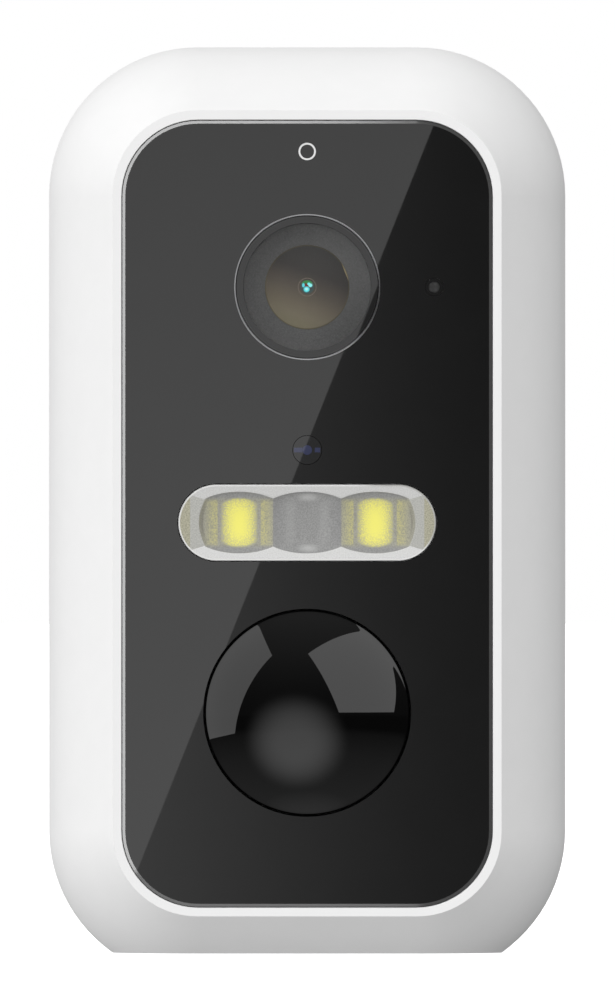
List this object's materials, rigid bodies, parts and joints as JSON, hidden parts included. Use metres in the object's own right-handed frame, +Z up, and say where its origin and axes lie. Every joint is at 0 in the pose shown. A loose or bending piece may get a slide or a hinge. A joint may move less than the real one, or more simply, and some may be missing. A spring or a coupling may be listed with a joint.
{
  "type": "floodlight security camera",
  "caption": "Upright rounded-box security camera with a black glossy front panel holding a camera lens, microphone, light sensor, floodlight window and domed motion sensor.",
  "frame": {"origin": "middle of the flat underside, half way between the tip of the motion-sensor dome and the back face", "axes": "+Z up, +X to the right seen from the front, the front panel faces -Y"},
  "size_m": [0.0548, 0.059, 0.096],
  "materials": {
    "white_plastic": "fine satin texture",
    "white_silicone": "soft matt silicone",
    "seal_rubber": "matt",
    "screw_steel": "zinc plated",
    "pin_steel": "ground",
    "insert_brass": "machined",
    "button_plastic": "satin",
    "reset_plastic": "moulded",
    "panel_black": "polished, back printed black",
    "adhesive_tape": "foam adhesive tape",
    "dome_black": "polished infrared-clear polyethylene",
    "lens_clear": "coated",
    "window_clear": "clear",
    "ring_metal": "turned",
    "barrel_black": "fine matt",
    "sensor_silicon": "sensor cover glass",
    "sensor_window": "smoked",
    "sensor_chip": "clear epoxy",
    "light_pipe": "frosted acrylic",
    "led_body": "phosphor coated",
    "flood_lens": "frosted polycarbonate",
    "reflector_white": "white",
    "circuit_board": "solder mask",
    "aluminium_board": "white solder mask",
    "mic_metal": "plated",
    "can_metal": "tin plated",
    "antenna_film": "flexible film",
    "switch_plastic": "moulded",
    "rotor_magnet": "bonded magnet",
    "coil_copper": "enamelled copper winding",
    "chassis_plastic": "moulded",
    "battery_wrap": "shrink sleeve",
    "cone_paper": "pressed"
  },
  "bodies": {
    "housing": {"front_housing": "white_plastic", "rear_housing": "white_plastic", "screw_plugs": "white_silicone", "housing_seal": "seal_rubber", "pir_seal": "seal_rubber", "mic_boot": "seal_rubber", "housing_screws": "screw_steel", "chassis_screws": "screw_steel", "board_screws": "screw_steel", "port_cover_pin": "pin_steel", "mount_insert": "insert_brass", "front_panel": "panel_black", "panel_tape": "adhesive_tape", "pir_dome": "dome_black", "lens_front_element": "lens_clear", "lens_rear_element": "lens_clear", "lens_window": "window_clear", "lens_ring": "ring_metal", "lens_barrel": "barrel_black", "lens_holder": "barrel_black", "ir_cut_base": "barrel_black", "mic_port": "barrel_black", "status_light_core": "barrel_black", "pir_holder": "barrel_black", "image_sensor": "sensor_silicon", "ambient_window": "sensor_window", "light_sensor": "sensor_chip", "status_light_pipe": "light_pipe", "floodlight_leds": "led_body", "status_led": "led_body", "floodlight_lens": "flood_lens", "floodlight_reflector": "reflector_white", "main_board": "circuit_board", "sensor_board": "circuit_board", "io_board": "circuit_board", "button_board": "circuit_board", "pir_board": "circuit_board", "floodlight_board": "aluminium_board", "microphone": "mic_metal", "shield_can": "can_metal", "usb_socket": "can_metal", "microsd_socket": "can_metal", "pir_sensor": "can_metal", "speaker_magnet": "can_metal", "wifi_antenna": "antenna_film", "power_switch": "switch_plastic", "reset_switch": "switch_plastic", "speaker_frame": "switch_plastic", "ir_cut_coil": "coil_copper", "chassis": "chassis_plastic", "battery_tray": "chassis_plastic", "battery_cells": "battery_wrap"},
    "power_key": {"power_button": "button_plastic"},
    "reset_key": {"reset_button": "reset_plastic"},
    "cover": {"port_cover": "white_silicone"},
    "filter_carriage": {"ir_cut_slider": "barrel_black", "infrared_filter": "lens_clear", "clear_filter": "lens_clear"},
    "filter_drive": {"ir_cut_rotor": "rotor_magnet"},
    "diaphragm": {"speaker_cone": "cone_paper"}
  },
  "joints": [
    {"name": "power_button_press", "type": "slide", "parent": "housing", "child": "power_key", "axis": [0, -1, 0], "range_m": [0, 0.0006], "stiffness_N_per_m": 600},
    {"name": "reset_button_press", "type": "slide", "parent": "housing", "child": "reset_key", "axis": [0, -1, 0], "range_m": [0, 0.00025], "stiffness_N_per_m": 800},
    {"name": "port_cover_hinge", "type": "hinge", "parent": "housing", "child": "cover", "pos_m": [0, 0.0282, 0.0101], "axis": [-1, 0, 0], "range_deg": [0, 90]},
    {"name": "filter_drive_turn", "type": "hinge", "parent": "housing", "child": "filter_drive", "pos_m": [0, -0.008, 0.059], "axis": [0, 1, 0], "range_deg": [-25, 25]},
    {"name": "filter_carriage_slide", "type": "slide", "parent": "housing", "child": "filter_carriage", "axis": [1, 0, 0], "range_m": [-0.003, 0.003]},
    {"name": "speaker_cone_throw", "type": "slide", "parent": "housing", "child": "diaphragm", "axis": [0, 0, 1], "range_m": [-0.0003, 0.0003], "stiffness_N_per_m": 900}
  ],
  "couplings": [
    {"joint": "filter_drive_turn", "follows": "filter_carriage_slide", "rad_per_m": 145.4}
  ]
}
